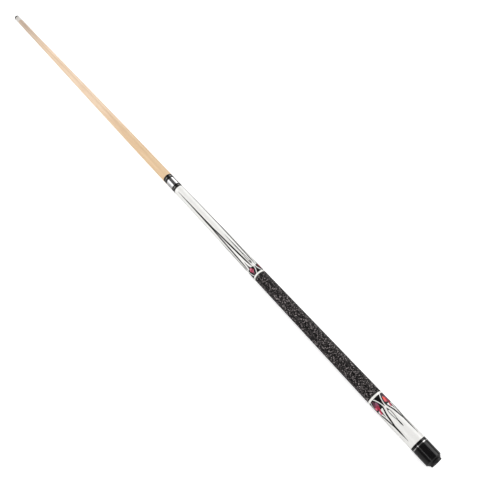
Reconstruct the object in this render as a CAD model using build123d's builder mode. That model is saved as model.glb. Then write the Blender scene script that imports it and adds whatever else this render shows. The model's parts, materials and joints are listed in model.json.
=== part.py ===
# Pool cue in two halves with a piloted steel screw joint, modelled lying along X.
# The origin is the middle of the joint face, on the cue's axis. The shaft and its tip
# lie towards -X, the butt and its bumper towards +X, and +Z is up. Every piece is turned
# about X, so its half section is drawn with x along the cue and y as the radius.
from build123d import *
from math import sqrt
import os

os.makedirs("parts", exist_ok=True)

# --- Driving dimensions (mm) -----------------------------------------------------------

CUE_LENGTH = 1473.2          # 58 inches, tip to bumper
TIP_END = -CUE_LENGTH / 2
BUTT_END = CUE_LENGTH / 2

# Shaft: tip, pad and ferrule
TIP_D = 13.0
TIP_CROWN_R = 10.6           # the dome of a nickel coin
TIP_LENGTH = 6.0
PAD_LENGTH = 1.0
FERRULE_LENGTH = 19.0
FERRULE_TENON_D = 8.0

# Shaft: wood and collar
SHAFT_REAR_D = 21.5
SHAFT_TAPER = [(-590.0, 14.3), (-375.0, 17.7), (-180.0, 20.5)]    # (x, diameter) on the way
COLLAR_BLACK_FRONT = 4.9
COLLAR_TRIM = 1.8
COLLAR_BLACK_REAR = 5.1
COLLAR_TENON_D = 16.0
JOINT_D = 21.6
JOINT_CHAMFER = 0.3

# Screw joint: 5/16-18 thread, pilot and recess
PIN_D = 7.94
PIN_REACH = 24.0             # from the joint face to the end of the pin
PIN_NOSE = 1.0
PIN_ROOT_D = 9.52            # the half glued into the forearm
PIN_ROOT_END = 45.0
RUNNING_CLEARANCE = 0.05     # radial
PILOT_D = 15.0
PILOT_LENGTH = 4.0
RECESS_DEPTH = 4.5
INSERT_D = 12.7
INSERT_DEPTH = 28.0

# Butt: places along X where each piece starts, from the joint face
STEEL_END = 20.0
RING_BLACK_FRONT_END = 24.4
RING_TRIM_END = 26.0
FOREARM_START = 30.3
FOREARM_END = 297.0
WRAP_START = 300.6
WRAP_END = 601.2
SLEEVE_START = 604.9
SLEEVE_END = 697.1
CAP_TRIM_START = 701.4
CAP_START = 703.0
CAP_CHAMFER_START = 729.8
CAP_END = 733.5

# Butt: diameters and inner joints
CAP_D = 30.0
CAP_END_D = 22.6
CAP_HOLLOW = 0.5             # how far the chamfer's face is hollowed
WRAP_THICKNESS = 0.7
HANDLE_TENON_D = 19.0
HANDLE_TENON_FRONT = 272.0
HANDLE_TENON_REAR = 641.0
STUD_D = 9.52
STUD_START = 237.0
STUD_END = 322.0
CAP_TENON_D = 21.0
CAP_TENON_END = 718.0

# Weight bolt, bumper and its screw
BOLT_BORE_START = 662.0
BOLT_D = 12.7
BOLT_START = 664.0
BOLT_END = 716.0
BOLT_SLOT = (1.6, 2.0)       # width and depth of the screwdriver slot
SCREW_D = 4.8
SCREW_START = 702.0
TAPPED_START = 700.0
SCREW_HEAD_D = 8.6
SCREW_HEAD_LENGTH = 2.6
CROSS_SLOT = (1.1, 5.2, 1.5)     # width, length and depth of the cross in the head
SCREW_PLAY = 0.2             # radial, in the washer and the bumper
CAP_WEB_HOLE_D = 6.0
BUMPER_SEAT = 724.0
BUMPER_D = 21.2
BUMPER_NOSE_D = 20.6
BUMPER_EDGE_R = 0.8
BUMPER_POCKET_D = 12.4
BUMPER_POCKET_START = 731.0
WASHER_D = 12.0
WASHER_LENGTH = 1.0

# --- Places that follow from them ------------------------------------------------------

PAD_START = TIP_END + TIP_LENGTH
FERRULE_START = PAD_START + PAD_LENGTH
FERRULE_END = FERRULE_START + FERRULE_LENGTH
COLLAR_REAR_START = -COLLAR_BLACK_REAR
COLLAR_TRIM_START = COLLAR_REAR_START - COLLAR_TRIM
COLLAR_START = COLLAR_TRIM_START - COLLAR_BLACK_FRONT
JOINT_BORE_D = PILOT_D + 2 * RUNNING_CLEARANCE
INSERT_BORE_D = PIN_D + 2 * RUNNING_CLEARANCE
SCREW_HOLE_D = SCREW_D + 2 * SCREW_PLAY
WASHER_END = BUMPER_POCKET_START + WASHER_LENGTH
SCREW_END = WASHER_END + SCREW_HEAD_LENGTH


def butt_radius(x):
    """Outer radius of the butt, a straight cone from the joint to the cap."""
    return (JOINT_D + (CAP_D - JOINT_D) * x / CAP_START) / 2


def collar_radius(x):
    """Outer radius of the shaft's collar, which widens a little towards the joint."""
    return (JOINT_D + (JOINT_D - SHAFT_REAR_D) * x / -COLLAR_START) / 2


def turn(*corners, mode=Mode.ADD):
    """Turn a half section, given by its (x, radius) corners, into the current part."""
    with BuildSketch() as section:
        with BuildLine():
            Polyline(*corners, close=True)
        make_face()
    revolve(section.sketch, axis=Axis.X, mode=mode)


def turned_ring(start, end, outer_radius, bore_d):
    """A ring from start to end along the cue, with outer_radius a function of x."""
    with BuildPart() as ring:
        turn(
            (start, bore_d / 2),
            (start, outer_radius(start)),
            (end, outer_radius(end)),
            (end, bore_d / 2),
        )
    return ring.part


def save(part, label):
    """Label a finished piece and write it to its own STEP file."""
    part.label = label
    export_step(part, f"parts/{label}.step")


# --- Shaft ------------------------------------------------------------------------------

crown_depth = TIP_CROWN_R - sqrt(TIP_CROWN_R**2 - (TIP_D / 2) ** 2)

with BuildPart() as tip:
    with BuildSketch() as tip_section:
        with BuildLine():
            crown = RadiusArc((TIP_END, 0), (TIP_END + crown_depth, TIP_D / 2), TIP_CROWN_R)
            Polyline(crown @ 1, (PAD_START, TIP_D / 2), (PAD_START, 0), crown @ 0)
        make_face()
    revolve(axis=Axis.X)

with BuildPart() as tip_pad:
    turn((PAD_START, 0), (PAD_START, TIP_D / 2), (FERRULE_START, TIP_D / 2), (FERRULE_START, 0))

with BuildPart() as ferrule:
    turn(
        (FERRULE_START, FERRULE_TENON_D / 2),
        (FERRULE_START, TIP_D / 2),
        (FERRULE_END, TIP_D / 2),
        (FERRULE_END, FERRULE_TENON_D / 2),
    )

with BuildPart() as shaft_wood:
    with BuildSketch() as shaft_section:
        with BuildLine():
            taper = Spline(
                (FERRULE_END, TIP_D / 2),
                *[(x, diameter / 2) for x, diameter in SHAFT_TAPER],
                (COLLAR_START, SHAFT_REAR_D / 2),
            )
            Polyline(
                taper @ 1,
                (COLLAR_START, COLLAR_TENON_D / 2),
                (0, COLLAR_TENON_D / 2),
                (0, INSERT_D / 2),
                (-INSERT_DEPTH, INSERT_D / 2),
                (-INSERT_DEPTH, 0),
                (FERRULE_START, 0),
                (FERRULE_START, FERRULE_TENON_D / 2),
                (FERRULE_END, FERRULE_TENON_D / 2),
                taper @ 0,
            )
        make_face()
    revolve(axis=Axis.X)

with BuildPart() as shaft_ring_rear:
    turn(
        (COLLAR_REAR_START, COLLAR_TENON_D / 2),
        (COLLAR_REAR_START, collar_radius(COLLAR_REAR_START)),
        (-JOINT_CHAMFER, JOINT_D / 2),
        (0, JOINT_D / 2 - JOINT_CHAMFER),
        (0, COLLAR_TENON_D / 2),
    )

# The insert's pilot stands out of the joint face and centres the shaft in the collar.
with BuildPart() as shaft_insert:
    turn(
        (-INSERT_DEPTH, INSERT_BORE_D / 2),
        (-INSERT_DEPTH, INSERT_D / 2),
        (0, INSERT_D / 2),
        (0, PILOT_D / 2),
        (PILOT_LENGTH - JOINT_CHAMFER, PILOT_D / 2),
        (PILOT_LENGTH, PILOT_D / 2 - JOINT_CHAMFER),
        (PILOT_LENGTH, INSERT_BORE_D / 2),
    )

save(tip.part, "tip")
save(tip_pad.part, "tip_pad")
save(ferrule.part, "ferrule")
save(shaft_wood.part, "shaft_wood")
save(turned_ring(COLLAR_START, COLLAR_TRIM_START, collar_radius, COLLAR_TENON_D), "shaft_ring_front")
save(
    turned_ring(
        COLLAR_TRIM_START,
        COLLAR_REAR_START,
        collar_radius,
        COLLAR_TENON_D + 2 * RUNNING_CLEARANCE,
    ),
    "shaft_trim_ring",
)
save(shaft_ring_rear.part, "shaft_ring_rear")
save(shaft_insert.part, "shaft_insert")

# --- Joint on the butt -------------------------------------------------------------------

with BuildPart() as joint_collar:
    turn(
        (0, JOINT_BORE_D / 2),
        (0, JOINT_D / 2 - JOINT_CHAMFER),
        (JOINT_CHAMFER, JOINT_D / 2),
        (STEEL_END, butt_radius(STEEL_END)),
        (STEEL_END, JOINT_BORE_D / 2),
    )

with BuildPart() as joint_pin:
    turn(
        (-PIN_REACH, 0),
        (-PIN_REACH, PIN_D / 2 - PIN_NOSE),
        (PIN_NOSE - PIN_REACH, PIN_D / 2),
        (RECESS_DEPTH, PIN_D / 2),
        (RECESS_DEPTH, PIN_ROOT_D / 2),
        (PIN_ROOT_END, PIN_ROOT_D / 2),
        (PIN_ROOT_END, 0),
    )

save(joint_collar.part, "joint_collar")
save(joint_pin.part, "joint_pin")

# --- Butt: wood, wrap and rings ------------------------------------------------------------

# The forearm's front tenon carries the steel collar and the rings, and its rear bore
# takes the handle's tenon and the stud.
with BuildPart() as forearm:
    turn(
        (RECESS_DEPTH, PIN_ROOT_D / 2),
        (RECESS_DEPTH, JOINT_BORE_D / 2),
        (FOREARM_START, JOINT_BORE_D / 2),
        (FOREARM_START, butt_radius(FOREARM_START)),
        (FOREARM_END, butt_radius(FOREARM_END)),
        (FOREARM_END, HANDLE_TENON_D / 2),
        (HANDLE_TENON_FRONT, HANDLE_TENON_D / 2),
        (HANDLE_TENON_FRONT, STUD_D / 2),
        (STUD_START, STUD_D / 2),
        (STUD_START, 0),
        (PIN_ROOT_END, 0),
        (PIN_ROOT_END, PIN_ROOT_D / 2),
    )

with BuildPart() as forearm_stud:
    turn((STUD_START, 0), (STUD_START, STUD_D / 2), (STUD_END, STUD_D / 2), (STUD_END, 0))

with BuildPart() as handle_core:
    turn(
        (HANDLE_TENON_FRONT, STUD_D / 2),
        (HANDLE_TENON_FRONT, HANDLE_TENON_D / 2),
        (WRAP_START, HANDLE_TENON_D / 2),
        (WRAP_START, butt_radius(WRAP_START) - WRAP_THICKNESS),
        (WRAP_END, butt_radius(WRAP_END) - WRAP_THICKNESS),
        (WRAP_END, HANDLE_TENON_D / 2),
        (HANDLE_TENON_REAR, HANDLE_TENON_D / 2),
        (HANDLE_TENON_REAR, 0),
        (STUD_END, 0),
        (STUD_END, STUD_D / 2),
    )

with BuildPart() as linen_wrap:
    turn(
        (WRAP_START, butt_radius(WRAP_START) - WRAP_THICKNESS),
        (WRAP_START, butt_radius(WRAP_START)),
        (WRAP_END, butt_radius(WRAP_END)),
        (WRAP_END, butt_radius(WRAP_END) - WRAP_THICKNESS),
    )

# The sleeve's rear tenon carries the cap rings and the cap, and its bore the weight bolt.
with BuildPart() as butt_sleeve:
    turn(
        (SLEEVE_START, HANDLE_TENON_D / 2),
        (SLEEVE_START, butt_radius(SLEEVE_START)),
        (SLEEVE_END, butt_radius(SLEEVE_END)),
        (SLEEVE_END, CAP_TENON_D / 2),
        (CAP_TENON_END, CAP_TENON_D / 2),
        (CAP_TENON_END, BOLT_D / 2),
        (BOLT_BORE_START, BOLT_D / 2),
        (BOLT_BORE_START, 0),
        (HANDLE_TENON_REAR, 0),
        (HANDLE_TENON_REAR, HANDLE_TENON_D / 2),
    )

save(forearm.part, "forearm")
save(forearm_stud.part, "forearm_stud")
save(handle_core.part, "handle_core")
save(linen_wrap.part, "linen_wrap")
save(butt_sleeve.part, "butt_sleeve")

for label, start, end, bore_d in [
    ("forearm_ring_front", STEEL_END, RING_BLACK_FRONT_END, JOINT_BORE_D),
    ("forearm_trim_ring", RING_BLACK_FRONT_END, RING_TRIM_END, JOINT_BORE_D),
    ("forearm_ring_rear", RING_TRIM_END, FOREARM_START, JOINT_BORE_D),
    ("wrap_ring_front", FOREARM_END, WRAP_START, HANDLE_TENON_D),
    ("wrap_ring_rear", WRAP_END, SLEEVE_START, HANDLE_TENON_D),
    ("cap_ring", SLEEVE_END, CAP_TRIM_START, CAP_TENON_D),
    ("cap_trim_ring", CAP_TRIM_START, CAP_START, CAP_TENON_D),
]:
    save(turned_ring(start, end, butt_radius, bore_d), label)

# --- Butt cap, weight bolt and bumper --------------------------------------------------------

# The chamfer's face is hollowed by a shallow arc, and the rear pocket seats the bumper.
with BuildPart() as butt_cap:
    with BuildSketch() as cap_section:
        with BuildLine():
            chamfer_face = SagittaArc((CAP_CHAMFER_START, CAP_D / 2), (CAP_END, CAP_END_D / 2), CAP_HOLLOW)
            Polyline(
                chamfer_face @ 1,
                (CAP_END, BUMPER_D / 2),
                (BUMPER_SEAT, BUMPER_D / 2),
                (BUMPER_SEAT, CAP_WEB_HOLE_D / 2),
                (CAP_TENON_END, CAP_WEB_HOLE_D / 2),
                (CAP_TENON_END, CAP_TENON_D / 2),
                (CAP_START, CAP_TENON_D / 2),
                (CAP_START, CAP_D / 2),
                chamfer_face @ 0,
            )
        make_face()
    revolve(axis=Axis.X)

with BuildPart() as weight_bolt:
    turn(
        (BOLT_START, 0),
        (BOLT_START, BOLT_D / 2),
        (BOLT_END, BOLT_D / 2),
        (BOLT_END, SCREW_D / 2),
        (TAPPED_START, SCREW_D / 2),
        (TAPPED_START, 0),
    )
    with BuildSketch(Plane.YZ.offset(BOLT_END)):
        Rectangle(BOLT_D, BOLT_SLOT[0])
    extrude(amount=-BOLT_SLOT[1], mode=Mode.SUBTRACT)

with BuildPart() as bumper:
    turn(
        (BUMPER_SEAT, SCREW_HOLE_D / 2),
        (BUMPER_SEAT, BUMPER_D / 2),
        (CAP_END, BUMPER_D / 2),
        (BUTT_END, BUMPER_NOSE_D / 2),
        (BUTT_END, BUMPER_POCKET_D / 2),
        (BUMPER_POCKET_START, BUMPER_POCKET_D / 2),
        (BUMPER_POCKET_START, SCREW_HOLE_D / 2),
    )
    nose_edge = bumper.edges().filter_by(GeomType.CIRCLE).filter_by(
        lambda edge: abs(edge.radius - BUMPER_NOSE_D / 2) < 0.01
    )
    fillet(nose_edge, radius=BUMPER_EDGE_R)

with BuildPart() as bumper_washer:
    turn(
        (BUMPER_POCKET_START, SCREW_HOLE_D / 2),
        (BUMPER_POCKET_START, WASHER_D / 2),
        (WASHER_END, WASHER_D / 2),
        (WASHER_END, SCREW_HOLE_D / 2),
    )

# The head is a spherical cap, whose radius follows from its diameter and its height.
screw_head_r = ((SCREW_HEAD_D / 2) ** 2 + SCREW_HEAD_LENGTH**2) / (2 * SCREW_HEAD_LENGTH)

with BuildPart() as bumper_screw:
    with BuildSketch() as screw_section:
        with BuildLine():
            head = RadiusArc((WASHER_END, SCREW_HEAD_D / 2), (SCREW_END, 0), screw_head_r)
            Polyline(
                head @ 1,
                (SCREW_START, 0),
                (SCREW_START, SCREW_D / 2),
                (WASHER_END, SCREW_D / 2),
                head @ 0,
            )
        make_face()
    revolve(axis=Axis.X)
    with BuildSketch(Plane.YZ.offset(SCREW_END)):
        Rectangle(CROSS_SLOT[1], CROSS_SLOT[0])
        Rectangle(CROSS_SLOT[0], CROSS_SLOT[1])
    extrude(amount=-CROSS_SLOT[2], mode=Mode.SUBTRACT)

save(butt_cap.part, "butt_cap")
save(weight_bolt.part, "weight_bolt")
save(bumper.part, "bumper")
save(bumper_washer.part, "bumper_washer")
save(bumper_screw.part, "bumper_screw")
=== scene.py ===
"""Looks of a two-piece pool cue with inlaid points, a linen wrap and a steel screw joint.

The cue lies along X with its tip towards -X. Every piece is a surface worked out on a grid:
a half section turned about X, a strip of inlay laid on the butt's cone, or a yarn carried
along a helix. Lengths are metres in the meshes, and millimetres where a table says so.
"""
import json
from math import cos, hypot, pi, radians, sin, sqrt

import bpy
import numpy as np
from bpy.props import FloatProperty, FloatVectorProperty, IntProperty, PointerProperty
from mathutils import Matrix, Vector


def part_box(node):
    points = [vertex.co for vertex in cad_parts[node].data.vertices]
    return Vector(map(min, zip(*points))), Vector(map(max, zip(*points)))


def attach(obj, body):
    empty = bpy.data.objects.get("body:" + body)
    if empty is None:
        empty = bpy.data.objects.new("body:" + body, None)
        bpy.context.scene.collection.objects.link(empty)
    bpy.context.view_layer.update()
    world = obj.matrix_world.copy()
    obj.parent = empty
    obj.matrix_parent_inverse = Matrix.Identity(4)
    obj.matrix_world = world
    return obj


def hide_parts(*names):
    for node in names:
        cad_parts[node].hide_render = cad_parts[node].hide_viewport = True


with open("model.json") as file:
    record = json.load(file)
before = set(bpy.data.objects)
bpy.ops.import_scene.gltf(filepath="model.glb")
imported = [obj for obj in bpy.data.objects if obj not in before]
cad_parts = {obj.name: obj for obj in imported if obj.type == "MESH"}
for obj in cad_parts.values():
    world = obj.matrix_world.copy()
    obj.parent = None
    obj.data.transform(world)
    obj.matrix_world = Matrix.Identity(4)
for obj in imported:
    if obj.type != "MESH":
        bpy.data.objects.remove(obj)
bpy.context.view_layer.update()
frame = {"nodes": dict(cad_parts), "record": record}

bl_info = {
    "name": "Pool cue looks",
    "version": (1, 0, 0),
    "blender": (4, 5, 0),
    "location": "3D View > Sidebar > Cue",
    "description": "Builds the finished surfaces and materials of a pool cue on its packed model",
    "category": "Object",
}

MM = 0.001
TINY = 0.01 * MM
TURNS_TO_PART = 20  # turns of the screw in the whole travel of its slide


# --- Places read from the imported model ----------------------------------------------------


def start(node):
    """Where a node begins along the cue."""
    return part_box(node)[0].x


def end(node):
    """Where a node ends along the cue."""
    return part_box(node)[1].x


def radius(node):
    """The largest radius of a node."""
    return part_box(node)[1].z


def stations(node):
    """Place along X and distance from the axis of every vertex of a node, as two arrays."""
    mesh = frame["nodes"][node].data
    corners = np.empty(len(mesh.vertices) * 3, np.float32)
    mesh.vertices.foreach_get("co", corners)
    x, y, z = corners.reshape(-1, 3).T.astype(float)
    return x, np.hypot(y, z)


def bore(node):
    """The smallest radius of a node."""
    return stations(node)[1].min()


def rim(node, there):
    """The outer radius of a node at a place along it where it has vertices."""
    x, r = stations(node)
    return r[np.abs(x - there) < TINY].max()


JOINT_R = radius("shaft_ring_rear")
CAP_R = radius("butt_cap")
TENON_R = bore("shaft_ring_front")
PIN_R = stations("joint_pin")[1][stations("joint_pin")[0] < 0].max()
INSERT_R = rim("shaft_insert", start("shaft_insert"))
THREAD_PITCH = frame["record"]["behaviour"]["joints"][0]["range_m"][1] / TURNS_TO_PART


def butt_radius(x):
    """The butt is a straight cone from the joint to the cap, then a cylinder."""
    return JOINT_R + (CAP_R - JOINT_R) * np.minimum(x / start("butt_cap"), 1)


def on_cone(x):
    """The corner of a half section that lies on the butt's outside at x."""
    return x, float(butt_radius(x))


# --- Colours ------------------------------------------------------------------------------


def srgb(red, green, blue):
    """A colour given as 0 to 255 screen values, made linear."""
    value = np.array([red, green, blue]) / 255
    return tuple(np.where(value < 0.04045, value / 12.92, ((value + 0.055) / 1.055) ** 2.4))


def colour(name, default, text):
    """A colour setting."""
    return FloatVectorProperty(
        name=name, description=text, subtype="COLOR", size=3, min=0, max=1, default=default
    )


def length(name, default, text):
    """A length setting, in metres."""
    return FloatProperty(
        name=name, description=text, subtype="DISTANCE", unit="LENGTH", precision=5,
        min=0, default=default,
    )


class CueColours(bpy.types.PropertyGroup):
    maple: colour("Maple", srgb(233, 202, 162), "Clear wood of the shaft")
    maple_grain: colour("Maple grain", srgb(205, 166, 124), "Darker fibres in the shaft")
    lacquer: colour("Lacquer", srgb(238, 237, 234), "White lacquer of the forearm and sleeve")
    black: colour("Black", srgb(9, 8, 10), "Inlay, rings and cap")
    ivory: colour("Rings", srgb(246, 245, 240), "White rings beside the wrap")
    ferrule: colour("Ferrule", srgb(218, 212, 205), "Ferrule at the tip")
    leather: colour("Tip leather", srgb(46, 38, 36), "Leather of the tip")
    steel: colour("Steel", srgb(208, 208, 210), "Joint collar and pin")
    silver: colour("Silver", srgb(190, 189, 188), "Thin trim ring beside the cap")
    nickel: colour("Nickel", srgb(118, 116, 114), "Thin trim rings beside the joint")
    brass: colour("Brass", srgb(214, 178, 104), "Threaded insert in the shaft")
    fibre: colour("Fibre", srgb(26, 24, 26), "Pad behind the tip")
    rubber: colour("Rubber", srgb(22, 21, 23), "Bumper")
    glue: colour("Glue", srgb(12, 10, 10), "Bed under the yarn")
    core: colour("Core wood", srgb(168, 124, 84), "Hardwood of the handle")
    core_grain: colour("Core grain", srgb(104, 68, 42), "Darker fibres of the handle")
    linen: colour("Linen", srgb(8, 5, 6), "Ground colour of the wrap")
    linen_fleck: colour("Linen fleck", srgb(192, 182, 182), "Pale flecks of the wrap")
    gem_dark: colour("Gem dark", srgb(48, 8, 18), "Deepest facet of the gems")
    gem_mid: colour("Gem", srgb(170, 18, 52), "Body colour of the gems")
    gem_light: colour("Gem light", srgb(250, 120, 158), "Palest facet of the gems")
    gem_violet: colour("Gem violet", srgb(124, 80, 106), "Violet facets of the sleeve's gems")
    gem_warm: colour("Gem warm", srgb(246, 62, 34), "Orange-red facets of the sleeve's gems")


class CueSizes(bpy.types.PropertyGroup):
    edge: length("Edge", 0.12 * MM, "Rounding of the turned edges")
    inlay_lift: length("Inlay lift", 0.03 * MM, "How far the inlay stands proud of the lacquer")
    inlay_depth: length("Inlay depth", 0.1 * MM, "Thickness of the inlay")
    yarn_pitch: length("Yarn pitch", 0.8 * MM, "Distance between turns of the linen yarn")
    yarn_height: length("Yarn height", 0.6 * MM, "Thickness of the linen yarn")
    thread_depth: length("Thread depth", 0.72 * MM, "Depth of the screw thread")
    thread_gap: length("Thread gap", 0.18 * MM, "Clearance between the two threads")
    around: IntProperty(
        name="Segments", description="Segments round a turned piece", default=96, min=24, max=256
    )


class CueStudio(bpy.types.PropertyGroup):
    azimuth: FloatProperty(
        name="Azimuth", description="Camera direction round the cue", subtype="ANGLE",
        unit="ROTATION", default=radians(52.676),
    )
    elevation: FloatProperty(
        name="Elevation", description="Camera height above the horizon", subtype="ANGLE",
        unit="ROTATION", default=radians(52.688),
    )
    distance: length("Distance", 1.2453, "From the camera to its aim point")
    aim: FloatVectorProperty(
        name="Aim", description="Point the camera looks at", subtype="TRANSLATION",
        unit="LENGTH", size=3, default=(0.2105, 0.0207, 0.0004),
    )
    lens: FloatProperty(
        name="Lens", description="Focal length in millimetres", unit="CAMERA", default=48.05
    )
    key: FloatProperty(name="Key light", description="Power in watts", default=38.0, min=0)
    strip: FloatProperty(name="Strip light", description="Power in watts", default=8.0, min=0)
    card: FloatProperty(name="Side card", description="Power in watts", default=7.5, min=0)
    low: FloatProperty(name="Low card", description="Power in watts", default=0.9, min=0)
    room: FloatProperty(name="Room light", description="Strength of the room", default=1.0, min=0)
    room_seen: FloatProperty(
        name="Room seen in gloss", description="Share of the room that reflections show",
        default=0.14, min=0, max=1,
    )


# --- Meshes -------------------------------------------------------------------------------

ARC_POINTS = 5  # on a rounded edge
ROW_MARGIN = 0.004  # left free at each end of a row of the map
TURN_MARGIN = 0.01  # left free at each side of it
THREAD_AROUND = 64  # points round a thread
THREAD_STEPS = 16  # points along one pitch
STRIP_STEP = 1.0  # mm between the rows of an inlay strip
STRIP_TURN = 2.5  # degrees between its columns
FACET_POINTS = 9  # points along each side of a facet
SHARP = radians(32)  # edges that turn more than this are shaded sharp


def add_piece(name, points, faces, maps=None, smooth=True, shades=None):
    """A mesh object at the origin. faces is one or more corner arrays of three or four
    columns; maps holds a UV per corner for each map name, and shades values per face."""
    mesh = bpy.data.meshes.new(name)
    mesh.from_pydata(points.reshape(-1, 3), [], [f for block in faces for f in block.tolist()])
    for label, corners in (maps or {}).items():
        mesh.uv_layers.new(name=label).uv.foreach_set("vector", corners.astype(np.float32).ravel())
    for label, values in (shades or {}).items():
        mesh.attributes.new(label, "FLOAT", "FACE").data.foreach_set(
            "value", values.astype(np.float32)
        )
    mesh.polygons.foreach_set("use_smooth", np.full(len(mesh.polygons), smooth))
    mesh.validate()
    piece = bpy.data.objects.new(name, mesh)
    bpy.context.scene.collection.objects.link(piece)
    return piece


def grid_corners(rows, columns, wrapped):
    """Corners of every cell of a grid, as row and column numbers shaped (cells, 4). They run
    so that a surface with rows along +X and columns turning from +Y to +Z faces outward."""
    cells = columns if wrapped else columns - 1
    i, j = (a.ravel() for a in np.meshgrid(np.arange(rows - 1), np.arange(cells), indexing="ij"))
    return np.stack([i, i, i + 1, i + 1], 1), np.stack([j, j + 1, j + 1, j], 1)


def softened(corners, edge):
    """The half section with its marked corners rounded. A corner is (x, radius, share), and
    a share above 0 replaces it by a quarter-round of that share of the edge size: the curve
    (1-t)^2 A + 2t(1-t) C + t^2 B from the point A before the corner C to B after it."""
    corners = np.array([c if len(c) == 3 else (*c, 0) for c in corners], float)
    outline = []
    for k, (x, r, share) in enumerate(corners):
        if share <= 0:
            outline.append([[x, r]])
            continue
        here, size = corners[k, :2], share * edge
        before, after = corners[k - 1, :2], corners[(k + 1) % len(corners), :2]
        a = here + (before - here) * size / hypot(*(before - here))
        b = here + (after - here) * size / hypot(*(after - here))
        t = np.linspace(0, 1, ARC_POINTS)[:, None]
        outline.append((1 - t) ** 2 * a + 2 * t * (1 - t) * here + t**2 * b)
    return np.concatenate(outline)


def refined(outline, step):
    """The outline with its long runs divided, so that no run is longer than step."""
    along = np.concatenate([[0], np.hypot(*np.diff(outline, axis=0).T).cumsum()])
    cuts = [
        np.linspace(a, b, int(np.ceil((b - a) / step)) + 1)[:-1]
        for a, b in zip(along[:-1], along[1:])
        if b > a
    ]
    places = np.concatenate([*cuts, along[-1:]])
    return np.stack([np.interp(places, along, outline[:, k]) for k in (0, 1)], 1)


def turned(name, corners, closed=True, step=4 * MM):
    """A half section turned about X: the point at outline place s and angle a is
    (x(s), r(s) cos a, r(s) sin a). The outline runs towards +X on the outside. A closed one
    returns along the bore, and an open one begins and ends on the axis."""
    sizes = bpy.context.scene.cue_sizes
    outline = softened(corners, sizes.edge)
    if closed:
        outline = np.concatenate([outline, outline[:1]])
    outline = refined(outline, step)
    if closed:
        outline = outline[:-1]
    return skin(name, *around(outline, sizes.around), closed)


def around(outline, count):
    """Each (x, radius) of an outline at count angles round X: x, radius and angle grids."""
    angle = np.arange(count) * 2 * pi / count
    x, r = (np.repeat(outline[:, k, None], count, 1) for k in (0, 1))
    return x, r, np.broadcast_to(angle, x.shape)


def skin(name, x, r, angle, closed):
    """The surface over grids of x, radius and angle, whose columns go round X. A closed one
    joins its last row to its first. An open one ends in two poles of one point each."""
    rows, count = x.shape
    points = np.stack([x, r * np.cos(angle), r * np.sin(angle)], -1).reshape(-1, 3)
    i, j = grid_corners(rows + closed, count, True)
    index = (i % rows) * count + j % count
    front = back = np.zeros(len(i), bool)
    if not closed:
        index[i == 0] = 0
        index[i == rows - 1] = (rows - 1) * count
        front, back = i[:, 0] == 0, i[:, 2] == rows - 1
    outline = np.stack([x[:, 0], r[:, 0]], 1)
    if closed:
        outline = np.concatenate([outline, outline[:1]])
    along = np.concatenate([[0], np.hypot(*np.diff(outline, axis=0).T).cumsum()])
    uv = bake_map(i, j / count, along, along[-1] / (2 * pi * max(r.max(), MM)))
    cells = [(~(front | back), [0, 1, 2, 3]), (front, [0, 2, 3]), (back, [0, 1, 2])]
    faces = [index[which][:, corners] for which, corners in cells]
    maps = np.concatenate([uv[which][:, corners].reshape(-1, 2) for which, corners in cells])
    used, packed = np.unique(np.concatenate([f.ravel() for f in faces]), return_inverse=True)
    sections = np.split(packed, np.cumsum([f.size for f in faces])[:-1])
    faces = [section.reshape(f.shape) for section, f in zip(sections, faces)]
    piece = add_piece(name, points[used], faces, {"OFBake": maps})
    piece.data.set_sharp_from_angle(angle=SHARP)
    return piece


def bake_map(i, turn, along, aspect):
    """A map that cuts a long turned surface into rows stacked in the square: u is the place
    within the row, and v the row plus the share of a turn, over the number of rows."""
    rows = max(1, round(sqrt(aspect)))
    middle = (along[i[:, 0]] + along[i[:, 2]]) / 2
    row = np.minimum((middle / along[-1] * rows).astype(int), rows - 1)
    first = np.array([along[i[row == k]].min() for k in range(rows)])[row][:, None]
    last = np.array([along[i[row == k]].max() for k in range(rows)])[row][:, None]
    u = ROW_MARGIN + (1 - 2 * ROW_MARGIN) * (along[i] - first) / (last - first)
    v = (row[:, None] + TURN_MARGIN + (1 - 2 * TURN_MARGIN) * turn) / rows
    return np.stack([u, v], -1)


def threaded(name, before, x0, x1, plain, after, closed):
    """A turned surface with a screw thread from x0 to x1. There its radius at (x, a) is the
    plain radius less the thread's depth times a flat-topped wave of x / pitch - a / 2 pi, a
    zigzag between 0 and 1 that is stretched by 5/4 about its middle and cut off at 0 and 1.
    It fades out over half a pitch at both ends. before and after are the outline's other
    (x, radius) points, and plain is a table of them that is read off at x."""
    turns = abs(x1 - x0) / THREAD_PITCH
    line = np.linspace(x0, x1, int(turns * THREAD_STEPS) + 1)
    outline = [*before, *zip(line, np.interp(line, *zip(*plain))), *after]
    x, r, angle = around(np.array(outline, float), THREAD_AROUND)
    wave = np.abs((x / THREAD_PITCH - angle / (2 * pi)) % 1 * 2 - 1)
    groove = np.clip(1.25 * wave - 0.125, 0, 1)
    inside = np.minimum(np.abs(x - x0), np.abs(x1 - x)) / (0.5 * THREAD_PITCH)
    fade = np.clip(inside, 0, 1)
    fade[: len(before)] = 0
    fade[len(before) + len(line):] = 0
    depth = bpy.context.scene.cue_sizes.thread_depth
    return skin(name, x, r - depth * groove * fade, angle, closed)


def on_butt(x, angle, layer):
    """Points on the butt's cone, lifted by layer times the inlay's height. x is mm, and angle
    degrees."""
    r = butt_radius(x * MM) + layer * bpy.context.scene.cue_sizes.inlay_lift
    a = np.radians(angle)
    return np.stack([x * MM, r * np.cos(a), r * np.sin(a)], -1)


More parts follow.
